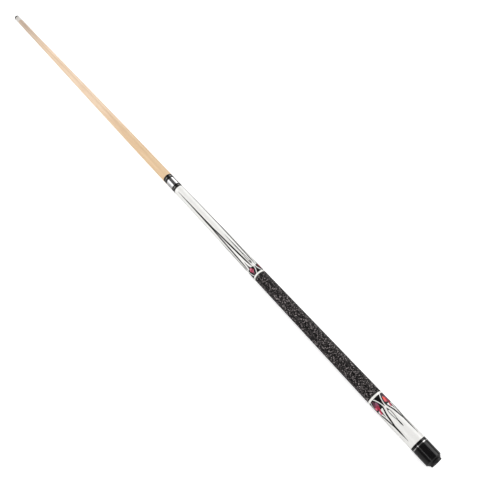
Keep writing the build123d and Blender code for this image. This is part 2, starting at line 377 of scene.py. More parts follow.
def strip_points(table):
    """A strip between two lines along the butt: at place x and share t it lies at the angle
    low(x) + t (high(x) - low(x)). The table's rows are (x, low, high) in mm and degrees. The
    widest place sets the number of columns, so that the strip follows the cone."""
    table = np.array(table, float)
    across = int((table[:, 2] - table[:, 1]).max() / STRIP_TURN) + 3
    x = np.concatenate([
        np.linspace(a, b, max(2, int((b - a) / STRIP_STEP) + 2))[:-1]
        for a, b in zip(table[:-1, 0], table[1:, 0])
    ] + [table[-1:, 0]])
    low, high = (eased(x, table[:, 0], table[:, k]) for k in (1, 2))
    t = np.linspace(0, 1, across)
    return np.broadcast_to(x[:, None], (len(x), across)), low[:, None] + t * (high - low)[:, None]


def eased(x, places, values):
    """A smooth line through the values that never overshoots: on each stretch it is the cubic
    whose slope at each end is the harmonic mean of the two stretches', or 0 where they turn."""
    run = np.diff(places)
    slope = np.diff(values) / run
    product, total = slope[:-1] * slope[1:], slope[:-1] + slope[1:]
    inner = np.where(product > 0, 2 * product / np.where(total == 0, 1, total), 0)
    m = np.concatenate([slope[:1], inner, slope[-1:]])
    k = np.clip(np.searchsorted(places, x, side="right") - 1, 0, len(run) - 1)
    t, h = (x - places[k]) / run[k], run[k]
    return (
        (2 * t**3 - 3 * t**2 + 1) * values[k] + (t**3 - 2 * t**2 + t) * h * m[k]
        + (3 * t**2 - 2 * t**3) * values[k + 1] + (t**3 - t**2) * h * m[k + 1]
    )


def stroke(table):
    """A line of inlay as a strip: rows (x, middle, width) in mm, degrees and mm become
    (x, middle - half, middle + half), with half the angle that half the width spans."""
    x, middle, width = np.array(table, float).T
    half = np.degrees(width * MM / 2 / butt_radius(x * MM))
    return np.stack([x, middle - half, middle + half], 1)


def even(table):
    """A strip that is even about the middle line: rows (x, half angle)."""
    x, half = np.array(table, float).T
    return np.stack([x, -half, half], 1)


def straight(table):
    """A stroke along the middle line: rows (x, width)."""
    return stroke([(x, 0, width) for x, width in table])


def pair(table):
    """A strip and its twin on the other side of the point's middle line."""
    x, low, high = np.array(table, float).T
    return [table, np.stack([x, -high, -low], 1)]


def inlaid(name, strips, middle):
    """Strips of inlay laid round the butt four times, about the middle angle, in one mesh."""
    points, faces, total = [], [], 0
    for table in strips:
        x, angle = strip_points(table)
        i, j = grid_corners(*x.shape, False)
        for quarter in range(4):
            points.append(on_butt(x, angle + middle + 90 * quarter, 1).reshape(-1, 3))
            faces.append(total + i * x.shape[1] + j)
            total += x.size
    return thickened(add_piece(name, np.concatenate(points), faces))


def thickened(piece):
    """Gives a sheet of inlay its depth, downwards from its face."""
    solid = piece.modifiers.new("Depth", "SOLIDIFY")
    solid.thickness = bpy.context.scene.cue_sizes.inlay_depth
    solid.offset = -1
    return piece


def faceted(name, facets, middle, second):
    """Cut facets laid round the butt four times. A facet is four (x, angle) corners filled
    by their bilinear mix, then a tone from 0, dark, to 1, pale, a warmth, which shows on
    every second gem, and a share of violet. second is the share of tone that those gems keep."""
    corners = np.array([f[:4] for f in facets], float)
    looks = np.array([f[4:] for f in facets], float)
    # Half the sum of x_k y_(k+1) - x_(k+1) y_k is the area, above 0 for one that faces inward.
    x, y = corners[..., 0], corners[..., 1]
    inward = (x * np.roll(y, -1, 1) - np.roll(x, -1, 1) * y).sum(1) > 0
    corners[inward] = corners[inward][:, ::-1]
    size = FACET_POINTS
    share = np.linspace(0, 1, size)
    s, t = (a.ravel()[None, :, None] for a in np.meshgrid(share, share, indexing="ij"))
    a, b, c, d = (corners[:, k, None] for k in range(4))
    flat = (1 - s) * (1 - t) * a + (1 - s) * t * b + s * t * c + s * (1 - t) * d
    i, j = grid_corners(size, size, False)
    cells = i * size + j
    one = (np.arange(len(facets))[:, None, None] * size**2 + cells).reshape(-1, 4)
    x, angle = flat.reshape(-1, 2).T
    points = [on_butt(x, angle + middle + 90 * quarter, 2) for quarter in range(4)]
    faces = [one + quarter * len(x) for quarter in range(4)]
    tone, warmth, violet = np.tile(np.repeat(looks, len(cells), 0), (4, 1)).T
    other = np.repeat([0, 1, 0, 1], len(one))
    shades = {"tone": tone * np.where(other, second, 1), "warmth": warmth * other, "violet": violet}
    return thickened(
        add_piece(name, np.concatenate(points), faces, smooth=False, shades=shades)
    )


# --- Shader node groups -------------------------------------------------------------------


def add_node(tree, kind, inputs=None, **settings):
    """Adds a node, sets what it is told, and links or sets each input by name or number."""
    node = tree.nodes.new("ShaderNode" + kind)
    for key, value in settings.items():
        setattr(node, key, value)
    for key, value in (inputs or {}).items():
        if isinstance(value, bpy.types.NodeSocket):
            tree.links.new(value, node.inputs[key])
        else:
            node.inputs[key].default_value = value
    return node


def calc(tree, operation, a, b=0.5, **settings):
    """One step of arithmetic."""
    return add_node(tree, "Math", {0: a, 1: b}, operation=operation, **settings).outputs[0]


def times(tree, a, b, **settings):
    """One value times another."""
    return calc(tree, "MULTIPLY", a, b, **settings)


def plus(tree, a, b, **settings):
    """One value and another."""
    return calc(tree, "ADD", a, b, **settings)


def along_cue(tree, position):
    """The place along X."""
    return add_node(tree, "SeparateXYZ", {0: position}).outputs[0]


def share_of(tint, share):
    """A darker shade of a colour."""
    return rgba([value * share for value in tint])


def mixed(tree, factor, a, b, blend="MIX"):
    """Mixes two colours."""
    node = add_node(tree, "Mix", {0: factor, 6: a, 7: b}, data_type="RGBA", blend_type=blend)
    return node.outputs[2]


def ranged(tree, value, low, high, to_low=0.0, to_high=1.0):
    """Maps a stretch of values to another with soft ends."""
    node = add_node(
        tree, "MapRange", {0: value, 1: low, 2: high, 3: to_low, 4: to_high},
        interpolation_type="SMOOTHSTEP",
    )
    return node.outputs[0]


def noise(tree, position, scale, size, detail=2.0, roughness=0.5):
    """Noise over a position stretched by scale on each axis."""
    stretched = add_node(tree, "Mapping", {0: position, 3: scale}).outputs[0]
    inputs = {0: stretched, "Scale": size, "Detail": detail, "Roughness": roughness}
    return add_node(tree, "TexNoise", inputs).outputs[0]


def rgba(value):
    """A colour with full alpha."""
    return (*value[:3], 1.0)


def start_group(name, inputs, outputs):
    """A new group tree with its sockets. Returns it, its inputs and its output node."""
    tree = bpy.data.node_groups.new(name, "ShaderNodeTree")
    for label, kind, default in inputs:
        socket = tree.interface.new_socket(label, in_out="INPUT", socket_type="NodeSocket" + kind)
        if default is not None:
            socket.default_value = default
    for label, kind in outputs:
        tree.interface.new_socket(label, in_out="OUTPUT", socket_type="NodeSocket" + kind)
    return tree, tree.nodes.new("NodeGroupInput").outputs, tree.nodes.new("NodeGroupOutput").inputs


def wood_grain():
    """Fibres that run along X: long soft bands, fine fibres and short dark pores."""
    tree, given, out = start_group(
        "Wood grain",
        [
            ("Position", "Vector", None), ("Light", "Color", (1, 1, 1, 1)),
            ("Dark", "Color", (0, 0, 0, 1)), ("Fibre size", "Float", 0.0012),
            ("Contrast", "Float", 0.5),
        ],
        [("Color", "Color"), ("Height", "Float")],
    )
    unit = calc(tree, "DIVIDE", 1.0, given["Fibre size"])
    bands = noise(tree, given["Position"], (0.012, 0.35, 0.35), unit, 3.0)
    fibres = noise(tree, given["Position"], (0.02, 1.6, 1.6), unit, 4.0, 0.65)
    pores = noise(tree, given["Position"], (0.09, 2.6, 2.6), unit, 1.0)
    soft = ranged(tree, bands, 0.35, 0.7, 0, 0.55)
    fine = ranged(tree, fibres, 0.42, 0.72, 0, 0.6)
    amount = plus(tree, plus(tree, soft, fine), ranged(tree, pores, 0.62, 0.72, 0, 0.7))
    amount = times(tree, amount, given["Contrast"], use_clamp=True)
    tree.links.new(mixed(tree, amount, given["Light"], given["Dark"]), out["Color"])
    tree.links.new(calc(tree, "SUBTRACT", 1.0, amount), out["Height"])
    return tree


def turning_lines():
    """Marks of the lathe: fine rings round X, uneven in depth."""
    tree, given, out = start_group(
        "Turning lines",
        [("Position", "Vector", None), ("Spacing", "Float", 0.0002)],
        [("Height", "Float"), ("Mask", "Float")],
    )
    unit = calc(tree, "DIVIDE", 1.0, given["Spacing"])
    lines = noise(tree, given["Position"], (1.0, 0.004, 0.004), unit, 3.0, 0.6)
    tree.links.new(lines, out["Height"])
    tree.links.new(ranged(tree, lines, 0.35, 0.7), out["Mask"])
    return tree


def handling_marks():
    """Soft smudges and hair-thin scratches left by hands and chalk."""
    tree, given, out = start_group(
        "Handling marks",
        [("Position", "Vector", None), ("Size", "Float", 0.02)],
        [("Smudge", "Float"), ("Scratch", "Float")],
    )
    unit = calc(tree, "DIVIDE", 1.0, given["Size"])
    cloud = noise(tree, given["Position"], (0.6, 1.0, 1.0), unit, 4.0, 0.6)
    hair = noise(tree, given["Position"], (1.5, 9.0, 3.0), unit, 5.0, 0.75)
    ridge = calc(tree, "ABSOLUTE", calc(tree, "SUBTRACT", hair, 0.5))
    tree.links.new(ranged(tree, cloud, 0.4, 0.72), out["Smudge"])
    tree.links.new(ranged(tree, ridge, 0.0, 0.012, 1.0, 0.0), out["Scratch"])
    return tree


def lacquer_skin():
    """The faint ripple of a sprayed clear coat, with a very slow change of tone."""
    tree, given, out = start_group(
        "Lacquer skin",
        [("Position", "Vector", None), ("Ripple", "Float", 0.004)],
        [("Height", "Float"), ("Tone", "Float")],
    )
    unit = calc(tree, "DIVIDE", 1.0, given["Ripple"])
    tree.links.new(noise(tree, given["Position"], (1, 1, 1), unit, 2.0), out["Height"])
    tree.links.new(noise(tree, given["Position"], (0.08, 0.4, 0.4), unit, 3.0), out["Tone"])
    return tree


def edge_dirt():
    """Dirt that gathers beside a ring: strongest at the two places along X, gone a few
    millimetres away, and broken up by noise."""
    tree, given, out = start_group(
        "Edge dirt",
        [
            ("Position", "Vector", None), ("First", "Float", 0.0), ("Last", "Float", 1.0),
            ("Reach", "Float", 0.002),
        ],
        [("Mask", "Float")],
    )
    x = along_cue(tree, given["Position"])
    near = calc(
        tree, "MINIMUM", calc(tree, "ABSOLUTE", calc(tree, "SUBTRACT", x, given["First"])),
        calc(tree, "ABSOLUTE", calc(tree, "SUBTRACT", x, given["Last"])),
    )
    close = calc(tree, "SUBTRACT", 1.0, calc(tree, "DIVIDE", near, given["Reach"]), use_clamp=True)
    broken = ranged(tree, noise(tree, given["Position"], (1, 1, 1), 700.0, 3.0), 0.35, 0.7)
    tree.links.new(times(tree, close, broken), out["Mask"])
    return tree


GROUPS = {
    "Wood grain": wood_grain,
    "Turning lines": turning_lines,
    "Handling marks": handling_marks,
    "Lacquer skin": lacquer_skin,
    "Edge dirt": edge_dirt,
}


def effect(tree, name, **values):
    """Places a shared effect in a material, built the first time it is wanted."""
    group = bpy.data.node_groups.get(name) or GROUPS[name]()
    node = tree.nodes.new("ShaderNodeGroup")
    node.node_tree = group
    for key, value in values.items():
        socket = node.inputs[key.replace("_", " ")]
        if isinstance(value, bpy.types.NodeSocket):
            tree.links.new(value, socket)
        else:
            socket.default_value = value
    return node.outputs


# --- Materials ----------------------------------------------------------------------------


def start_material(**shader):
    """A material with its Principled shader set, and the object coordinates it reads."""
    material = bpy.data.materials.new("finish")
    material.use_nodes = True
    tree = material.node_tree
    surface = tree.nodes["Principled BSDF"]
    for key, value in shader.items():
        surface.inputs[key.replace("_", " ")].default_value = value
    position = tree.nodes.new("ShaderNodeTexCoord").outputs["Object"]
    return material, tree, surface.inputs, position


def finish_with(tree, surface, **links):
    """Links the worked-out sockets to the shader."""
    for key, socket in links.items():
        tree.links.new(socket, surface[key.replace("_", " ")])


def bumped(tree, height, strength, distance):
    """A bump from a height between 0 and 1."""
    return add_node(
        tree, "Bump", {"Height": height, "Strength": strength, "Distance": distance}
    ).outputs[0]


def maple(colours):
    """Pale maple under thin sealer, greyed by chalk and hands towards the ferrule."""
    material, tree, surface, position = start_material(
        Coat_Weight=0.08, Coat_Roughness=0.3, Specular_IOR_Level=0.25
    )
    x = along_cue(tree, position)
    pale = ranged(tree, x, -0.1, -0.34, 0.0, 0.62)
    toned = mixed(tree, pale, rgba(colours.maple), rgba(srgb(252, 228, 204)))
    handled = effect(tree, "Handling marks", Position=position, Size=30 * MM)
    grime = times(
        tree, ranged(tree, x, -0.53, start("shaft_wood") + 0.04, 0.0, 0.92),
        ranged(tree, handled["Smudge"], 0.0, 1.0, 0.8, 1.0),
    )
    clear = mixed(tree, grime, toned, rgba(srgb(198, 180, 165)))
    darker = [dark / light for dark, light in zip(colours.maple_grain, colours.maple)]
    grain = effect(
        tree, "Wood grain", Position=position, Light=clear,
        Dark=mixed(tree, 1.0, clear, rgba(darker), "MULTIPLY"), Fibre_size=1.4 * MM, Contrast=0.6,
    )
    marks = times(tree, handled["Smudge"], 0.12)
    finish_with(
        tree, surface, Base_Color=mixed(tree, marks, grain["Color"], rgba(srgb(206, 160, 112))),
        Roughness=plus(tree, 0.42, marks), Normal=bumped(tree, grain["Height"], 0.25, 0.05 * MM),
    )
    return material


def gloss(colours, tint, first, last, rough, level=0.5, coat=1.0, marks=0.18):
    """Polished lacquer or resin: faint ripple, smudges that dull it, fine scratches, and a
    trace of dirt beside the rings at its two ends."""
    tint = getattr(colours, tint)
    material, tree, surface, position = start_material(
        Coat_Weight=coat, Coat_Roughness=0.04, Specular_IOR_Level=level
    )
    coating = effect(tree, "Lacquer skin", Position=position, Ripple=3 * MM)
    handled = effect(tree, "Handling marks", Position=position, Size=18 * MM)
    dirt = effect(tree, "Edge dirt", Position=position, First=first, Last=last, Reach=1.2 * MM)
    aged = rgba([value * 0.78 + 0.004 for value in tint])
    shade = mixed(tree, times(tree, coating["Tone"], 0.14), rgba(tint), aged)
    hairs = times(tree, handled["Scratch"], marks * 0.35)
    worn = mixed(tree, hairs, shade, rgba(srgb(150, 148, 146)))
    final = mixed(tree, times(tree, dirt["Mask"], 0.35), worn, rgba(srgb(70, 64, 60)))
    dulled = plus(
        tree, times(tree, handled["Smudge"], marks), times(tree, handled["Scratch"], 0.25)
    )
    finish_with(
        tree, surface, Base_Color=final, Roughness=plus(tree, rough, dulled),
        Normal=bumped(tree, coating["Height"], 0.06, 0.06 * MM),
    )
    return material


def metal(colours, tint, rough, spacing, strength, dull):
    """Turned metal: lathe lines in its bump and roughness, and smudges that dull it."""
    tint = getattr(colours, tint)
    material, tree, surface, position = start_material(Metallic=1.0)
    lines = effect(tree, "Turning lines", Position=position, Spacing=spacing)
    handled = effect(tree, "Handling marks", Position=position, Size=9 * MM)
    smudge = times(tree, handled["Smudge"], 0.3)
    lined = plus(tree, rough, times(tree, lines["Mask"], 0.08))
    finish_with(
        tree, surface, Base_Color=mixed(tree, smudge, rgba(tint), share_of(tint, 0.72)),
        Roughness=plus(tree, lined, times(tree, handled["Smudge"], dull)),
        Normal=bumped(tree, lines["Height"], strength, 0.02 * MM),
    )
    return material


def ferrule_resin(colours):
    """Off-white ferrule, rubbed with blue-grey chalk near the tip."""
    material, tree, surface, position = start_material(Specular_IOR_Level=0.35)
    lines = effect(tree, "Turning lines", Position=position, Spacing=0.25 * MM)
    handled = effect(tree, "Handling marks", Position=position, Size=7 * MM)
    chalky = ranged(tree, along_cue(tree, position), end("ferrule"), start("ferrule"), 0.12, 0.7)
    chalk = times(tree, chalky, ranged(tree, handled["Smudge"], 0, 1, 0.35, 1.0))
    shade = mixed(tree, chalk, rgba(colours.ferrule), rgba(srgb(178, 176, 174)))
    finish_with(
        tree, surface, Base_Color=shade,
        Roughness=ranged(tree, handled["Smudge"], 0, 1, 0.32, 0.5),
        Normal=bumped(tree, lines["Height"], 0.15, 0.02 * MM),
    )
    return material


def leather(colours):
    """Pressed leather tip: layered rings, a scuffed crown and chalk caught in the pores."""
    material, tree, surface, position = start_material(Specular_IOR_Level=0.25)
    layers = effect(tree, "Turning lines", Position=position, Spacing=0.5 * MM)
    nap = noise(tree, position, (1, 1, 1), 2600.0, 4.0, 0.7)
    front = start("tip")
    crown = ranged(tree, along_cue(tree, position), front + 2.2 * MM, front + 1.0 * MM)
    caught = times(tree, crown, ranged(tree, nap, 0.42, 0.62, 0.2, 0.85))
    side = mixed(tree, layers["Mask"], rgba(colours.leather), share_of(colours.leather, 0.55))
    shade = mixed(tree, caught, side, rgba(srgb(74, 78, 88)))
    height = plus(tree, nap, times(tree, layers["Height"], 0.5))
    finish_with(
        tree, surface, Base_Color=shade, Roughness=ranged(tree, nap, 0.3, 0.7, 0.75, 0.95),
        Normal=bumped(tree, height, 0.6, 0.12 * MM),
    )
    return material


def matt(colours, tint, bloom, scale, rough, level):
    """Matt rubber, fibre or glue: a fine pale speckle, a slight bloom and a pitted skin."""
    material, tree, surface, position = start_material(Specular_IOR_Level=level)
    speckle = noise(tree, position, (1, 1, 1), scale, 3.0, 0.7)
    handled = effect(tree, "Handling marks", Position=position, Size=8 * MM)
    dots = ranged(tree, speckle, 0.54, 0.68, 0, 0.3)
    amount = plus(tree, times(tree, handled["Smudge"], 0.3), dots)
    finish_with(
        tree, surface, Base_Color=mixed(tree, amount, rgba(getattr(colours, tint)), rgba(bloom)),
        Roughness=ranged(tree, speckle, 0.3, 0.7, rough, rough + 0.2),
        Normal=bumped(tree, speckle, 0.35, 0.06 * MM),
    )
    return material


def linen(colours):
    """Black linen yarn with grey flecks. The map's u is the length along the yarn in metres
    and v the turn around it, so flecks follow the winding and twist shows as a slant."""
    material, tree, surface, position = start_material(
        Sheen_Weight=0.04, Sheen_Roughness=0.4, Specular_IOR_Level=0.16
    )
    thread = add_node(tree, "UVMap", uv_map="Yarn").outputs[0]
    long_flecks = noise(tree, thread, (1.0, 0.0, 0.0), 190.0, 1.0, 0.6)
    short_flecks = noise(tree, thread, (1.0, 0.0, 0.0), 700.0, 1.0, 0.6)
    clusters = noise(tree, position, (1, 1, 1), 430.0, 1.0, 0.5)
    twisted = add_node(tree, "Mapping", {0: thread, 3: (900.0, 1.0, 1.0)}).outputs[0]
    twist = add_node(
        tree, "TexWave", {0: twisted, "Scale": 1.0, "Distortion": 0.6, "Detail": 1.0},
        wave_type="BANDS", bands_direction="DIAGONAL",
    ).outputs[1]
    flecked = calc(
        tree, "MAXIMUM", ranged(tree, long_flecks, 0.5, 0.56, 0, 1.0),
        ranged(tree, short_flecks, 0.56, 0.62, 0, 0.7),
    )
    flecked = times(tree, flecked, ranged(tree, clusters, 0.46, 0.62, 0.06, 1.0))
    shade = mixed(tree, flecked, rgba(colours.linen), rgba(colours.linen_fleck))
    shade = mixed(tree, times(tree, twist, 0.35), shade, rgba(srgb(20, 18, 19)), "MULTIPLY")
    finish_with(
        tree, surface, Base_Color=shade, Roughness=ranged(tree, short_flecks, 0.3, 0.7, 0.38, 0.6),
        Normal=bumped(tree, twist, 0.5, 0.08 * MM),
    )
    return material


def gem(colours):
    """Gem facets: each face carries a tone, a warmth and a share of violet, broken by fine
    mottling."""
    material, tree, surface, position = start_material(
        Coat_Weight=0.3, Coat_Roughness=0.04, Specular_IOR_Level=0.3
    )
    tone, warmth, violet = (
        add_node(tree, "Attribute", attribute_name=label).outputs["Fac"]
        for label in ("tone", "warmth", "violet")
    )
    mottle = noise(tree, position, (1, 1, 1), 900.0, 3.0, 0.6)
    shaken = times(tree, calc(tree, "SUBTRACT", mottle, 0.5), 0.25)
    shaken = plus(tree, tone, shaken, use_clamp=True)
    ramp = add_node(tree, "ValToRGB", {0: shaken})
    stops = ramp.color_ramp.elements
    stops[1].position = 0.5
    stops.new(1.0)
    for stop, tint in zip(stops, (colours.gem_dark, colours.gem_mid, colours.gem_light)):
        stop.color = rgba(tint)
    cool = mixed(tree, violet, ramp.outputs[0], rgba(colours.gem_violet))
    shade = mixed(tree, warmth, cool, rgba(colours.gem_warm))
    finish_with(
        tree, surface, Base_Color=shade, Roughness=ranged(tree, mottle, 0.3, 0.7, 0.2, 0.35),
        Normal=bumped(tree, mottle, 0.1, 0.04 * MM),
    )
    return material


def core_wood(colours):
    """Dark hardwood of the handle, under the wrap."""
    material, tree, surface, position = start_material()
    grain = effect(
        tree, "Wood grain", Position=position, Light=rgba(colours.core),
        Dark=rgba(colours.core_grain), Fibre_size=1.8 * MM, Contrast=0.8,
    )
    finish_with(
        tree, surface, Base_Color=grain["Color"],
        Roughness=ranged(tree, grain["Height"], 0, 1, 0.7, 0.5),
        Normal=bumped(tree, grain["Height"], 0.3, 0.08 * MM),
    )
    return material


FINISHES = {
    "maple": (maple, {}),
    "ferrule": (ferrule_resin, {}),
    "leather": (leather, {}),
    "linen": (linen, {}),
    "gem": (gem, {}),
    "core": (core_wood, {}),
    "fibre": (matt, dict(
        tint="fibre", bloom=srgb(104, 96, 94), scale=3200.0, rough=0.6, level=0.3,
    )),
    "rubber": (matt, dict(
        tint="rubber", bloom=srgb(66, 64, 66), scale=1800.0, rough=0.5, level=0.35,
    )),
    "glue": (matt, dict(
        tint="glue", bloom=srgb(40, 36, 34), scale=1200.0, rough=0.65, level=0.2,
    )),
    "lacquer": (gloss, dict(
        tint="lacquer", first=start("forearm_ring_rear"), last=end("butt_sleeve"), rough=0.22,
        coat=0.55,
    )),
    "ivory": (gloss, dict(
        tint="ivory", first=end("wrap_ring_front"), last=start("wrap_ring_rear"), rough=0.25,
    )),
    "inlay": (gloss, dict(
        tint="black", first=-1.0, last=1.0, rough=0.3, level=0.25, coat=0.0, marks=0.05,
    )),
    "black": (gloss, dict(
        tint="black", first=start("shaft_ring_front"), last=end("forearm_ring_rear"),
        rough=0.22, level=0.3, coat=0.0,
    )),
    "cap": (gloss, dict(
        tint="black", first=start("butt_cap"), last=-1.0, rough=0.1, level=0.32, coat=0.0,
        marks=0.08,
    )),
    "steel": (metal, dict(
        tint="steel", rough=0.13, spacing=0.3 * MM, strength=0.25, dull=0.12,
    )),
    "pin": (metal, dict(
        tint="steel", rough=0.22, spacing=0.15 * MM, strength=0.3, dull=0.15,
    )),
    "silver": (metal, dict(
        tint="silver", rough=0.16, spacing=0.2 * MM, strength=0.3, dull=0.1,
    )),
    "nickel": (metal, dict(
        tint="nickel", rough=0.2, spacing=0.2 * MM, strength=0.3, dull=0.1,
    )),
    "brass": (metal, dict(
        tint="brass", rough=0.2, spacing=0.2 * MM, strength=0.3, dull=0.12,
    )),
}


def dress(piece, finish):
    """Puts a finish on a piece, building its material the first time."""
    key = "cue_" + finish
    material = bpy.data.materials.get(key)
    if material is None:
        build, settings = FINISHES[finish]
        material = build(bpy.context.scene.cue_colours, **settings)
        material.name = key
    piece.data.materials.clear()
    piece.data.materials.append(material)
    return piece


def place(piece, finish, body, slot, *nodes):
    """Finishes a new piece, ties it to its body and hides the CAD nodes it stands for."""
    dress(piece, finish)
    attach(piece, body)
    if nodes:
        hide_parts(*nodes)
    return piece


# --- Operators: one for each group of pieces ----------------------------------------------

TIP_DOME = 10.6 * MM  # radius of the tip's crown
TIP_POINTS = 14  # from the crown's pole to its edge
SCUFF = 0.017 * MM  # the tip's wear for each of the three waves that shape it
SHAFT_KNOTS = 13  # places where the shaft's taper is read
SHAFT_POINTS = 160  # places where it is drawn
PIN_NOSE = 1.0 * MM  # length of the cone that leads the pin in
PIN_CREST = PIN_R - 0.03 * MM  # radius of the thread's crests, inside the solid pin
PIN_THREAD_END = -0.5 * MM  # just before the joint's face
INSERT_THREAD_START = -1.6 * MM
LEAD_IN = 0.3 * MM  # chamfer of the insert
YARN_STEPS = 40  # sections in one turn of the yarn
YARN_SIDES = 6  # corners of its section
YARN_SINK = 0.03 * MM  # from the butt's cone down to the yarn's crest
GLUE_GAP = 0.3 * MM  # from the butt's cone down to the ground under the yarn
CAP_HOLLOW = 0.35 * MM  # depth of the hollow in the cap's slanted rear
BUMPER_FIT = 0.02 * MM  # gap between the bumper and its seat
BUMPER_BAND = 0.8 * MM  # how far before its nose the bumper's radius is read
FLOOR_REACH = 8.0  # metres from the middle to each edge
FLOOR_GAP = 0.05 * MM  # left free under the cue
FLOOR_GLOW = 0.55  # light that the camera sees the floor give off
FLOOR_IN_GLOSS = 0.22  # share by which the floor is dimmed where gloss shows it
SHAFT_FREE = -0.1  # before this place along X the shaft may touch the floor
CAP_REST = 3.7 * MM  # from the cap's rear to the place where it touches the floor


class CUE_OT_tip(bpy.types.Operator):
    """Builds the leather tip, its fibre pad and the ferrule"""

    bl_idname = "cue.tip"
    bl_label = "Tip and ferrule"

    def execute(self, context):
        x, edge, crown_end = start("tip"), radius("tip"), end("tip")
        depth = TIP_DOME - sqrt(TIP_DOME**2 - edge**2)
        a = np.linspace(0, 1, TIP_POINTS)
        crown = np.stack([x + TIP_DOME - np.sqrt(TIP_DOME**2 - (a * edge) ** 2), a * edge], 1)
        outline = [
            *map(tuple, crown[:-1]), (x + depth, edge, 3.0), (crown_end, edge, 0.6),
            (crown_end, 0.0),
        ]
        tip = turned("tip_dome", outline, closed=False, step=0.3 * MM)
        points = np.empty(len(tip.data.vertices) * 3, np.float32)
        tip.data.vertices.foreach_get("co", points)
        points = points.reshape(-1, 3)
        # Scuffs: the crown is lowered by up to 0.05 mm, where a sum of three sines is high.
        _, y, z = points.T * 1000
        waves = np.sin(7.3 * y + 2.1 * np.sin(4.9 * z)) + np.sin(9.7 * z + 1.3 * y)
        waves += np.sin(5.1 * (y - z))
        on_crown = np.clip((crown_end - 3 * MM - points[:, 0]) / MM, 0, 1)
        points[:, 0] += SCUFF * np.clip(waves, 0, 3) * on_crown
        tip.data.vertices.foreach_set("co", points.ravel())
        place(tip, "leather", "shaft", "tip_leather", "tip")
        a, b, r = start("tip_pad"), end("tip_pad"), radius("tip_pad")
        outline = [(a, 0.0), (a, r, 0.5), (b, r, 0.5), (b, 0.0)]
        pad = turned("tip_pad_disc", outline, closed=False, step=0.5 * MM)
        place(pad, "fibre", "shaft", "fibre", "tip_pad")
        a, b, r, inner = start("ferrule"), end("ferrule"), radius("ferrule"), bore("ferrule")
        outline = [(a, inner), (a, r, 1.0), (b, r, 0.4), (b, inner)]
        ferrule = turned("ferrule_sleeve", outline, step=1 * MM)
        place(ferrule, "ferrule", "shaft", "ferrule_white", "ferrule")
        return {"FINISHED"}


class CUE_OT_shaft(bpy.types.Operator):
    """Builds the tapered maple shaft"""

    bl_idname = "cue.shaft"
    bl_label = "Shaft"

    def execute(self, context):
        x, r = stations("shaft_wood")
        front, rear, tenon = end("ferrule"), start("shaft_ring_front"), bore("ferrule")
        outside = (x > front - TINY) & (x < rear + TINY) & (r > tenon + MM)
        x, first = np.unique(np.round(x[outside], 4), return_index=True)
        knots = np.linspace(front, rear, SHAFT_KNOTS)
        places = np.linspace(front, rear, SHAFT_POINTS)
        curve = eased(places, knots, np.interp(knots, x, r[outside][first]))
        taper = np.stack([places, curve], 1)
        insert_start = start("shaft_insert")
        outline = [
            (start("shaft_wood"), 0.0), (start("shaft_wood"), tenon), (front, tenon),
            (*taper[0], 0.3), *map(tuple, taper[1:-1]), (*taper[-1], 0.4),
            (rear, TENON_R), (0.0, TENON_R), (0.0, INSERT_R), (insert_start, INSERT_R),
            (insert_start, 0.0),
        ]
        shaft = turned("shaft_maple", outline, closed=False, step=5 * MM)
        place(shaft, "maple", "shaft", "maple", "shaft_wood")
        return {"FINISHED"}


class CUE_OT_shaft_collar(bpy.types.Operator):
    """Builds the black and silver rings at the shaft's joint end"""

    bl_idname = "cue.shaft_collar"
    bl_label = "Shaft collar"

    def execute(self, context):
        front, middle, rear = (
            start(node) for node in ("shaft_ring_front", "shaft_trim_ring", "shaft_ring_rear")
        )
        narrow = rim("shaft_ring_front", front)
        black = ("black", "shaft", "collar_black")
        nickel = ("nickel", "screw_follower", "trim_silver")
        for name, node, a, b, kind, soft, rear_soft in [
            ("shaft_ring_front_black", "shaft_ring_front", front, middle, black, 0.3, 0.3),
            ("shaft_trim_nickel", "shaft_trim_ring", middle, rear, nickel, 0.5, 0.5),
            ("shaft_ring_rear_black", "shaft_ring_rear", rear, 0.0, black, 0.3, 2.4),
        ]:
            ra, rb = (JOINT_R + (narrow - JOINT_R) * x / front for x in (a, b))
            corners = [(a, bore(node)), (a, ra, soft), (b, rb, rear_soft), (b, bore(node))]
            place(turned(name, corners, step=1 * MM), *kind, node)
        return {"FINISHED"}


class CUE_OT_screw(bpy.types.Operator):
    """Builds the threaded pin, and the brass insert whose thread it runs in"""

    bl_idname = "cue.screw"
    bl_label = "Screw joint"

    def execute(self, context):
        gap = context.scene.cue_sizes.thread_gap
        tip, shoulder, root = start("joint_pin"), start("forearm"), end("joint_pin")
        root_r = radius("joint_pin")
        profile = [(tip, PIN_CREST - 0.9 * PIN_NOSE), (tip + PIN_NOSE, PIN_CREST)]
        after = [(shoulder, PIN_CREST), (shoulder, root_r), (root, root_r), (root, 0.0)]
        pin = threaded(
            "joint_pin_thread", [(tip, 0.0)], tip, PIN_THREAD_END, profile, after, False
        )
        place(pin, "pin", "butt", "pin_steel", "joint_pin")
        # The insert's thread ends before the pin's does, so that its ridges run in grooves.
        a, b, pilot = start("shaft_insert"), end("shaft_insert"), radius("shaft_insert")
        hole = PIN_CREST + gap
        before = [
            (a, hole), (a, INSERT_R), (0.0, INSERT_R), (0.0, pilot), (b - LEAD_IN, pilot),
            (b, pilot - LEAD_IN), (b, hole),
        ]
        insert = threaded(
            "shaft_insert_brass", before, INSERT_THREAD_START, a + LEAD_IN,
            [(a, hole), (b, hole)], [], True,
        )
        place(insert, "brass", "shaft", "brass_insert", "shaft_insert")
        return {"FINISHED"}


